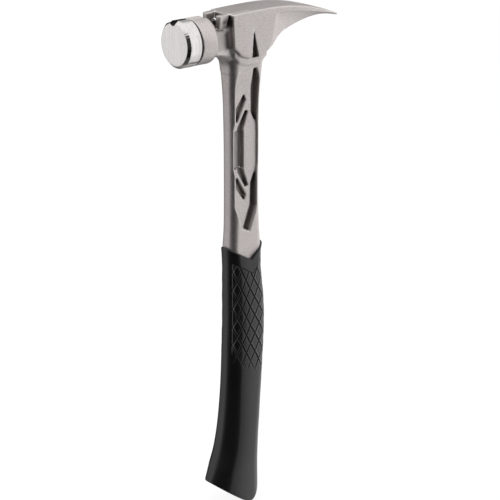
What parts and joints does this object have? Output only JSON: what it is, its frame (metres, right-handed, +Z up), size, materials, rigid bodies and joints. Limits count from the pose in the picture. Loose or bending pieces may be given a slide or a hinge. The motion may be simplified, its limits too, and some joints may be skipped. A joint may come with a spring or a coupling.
{
  "type": "framing hammer",
  "caption": "Cast titanium framing hammer with a screwed-on steel striking face, straight claw, magnetic nail start, side nail pullers, pocketed shaft and moulded rubber grip.",
  "frame": {"origin": "centre of the bounding box's base, at the lowest line of the grip's butt", "axes": "+Z up along the shaft to the head, +X towards the claw, -X out of the striking face, Y across the head"},
  "size_m": [0.148, 0.0356, 0.397],
  "materials": {
    "titanium": "investment-cast titanium, blasted to a fine satin grain",
    "face_steel": "turned and polished tool steel, finely brushed across the striking face",
    "seal": "matt black seal",
    "bright_steel": "plain hardened steel",
    "black_steel": "black oxide",
    "magnet": "nickel-plated magnet",
    "grip_rubber": "moulded black rubber, satin, with cut diamond lines on both sides"
  },
  "bodies": {
    "root": {"titanium_frame": "titanium", "striking_face": "face_steel", "face_seal_ring": "seal", "face_key_pin": "bright_steel", "face_screw": "black_steel", "lock_washer": "bright_steel", "nail_magnet": "magnet", "grip": "grip_rubber"}
  },
  "joints": []
}
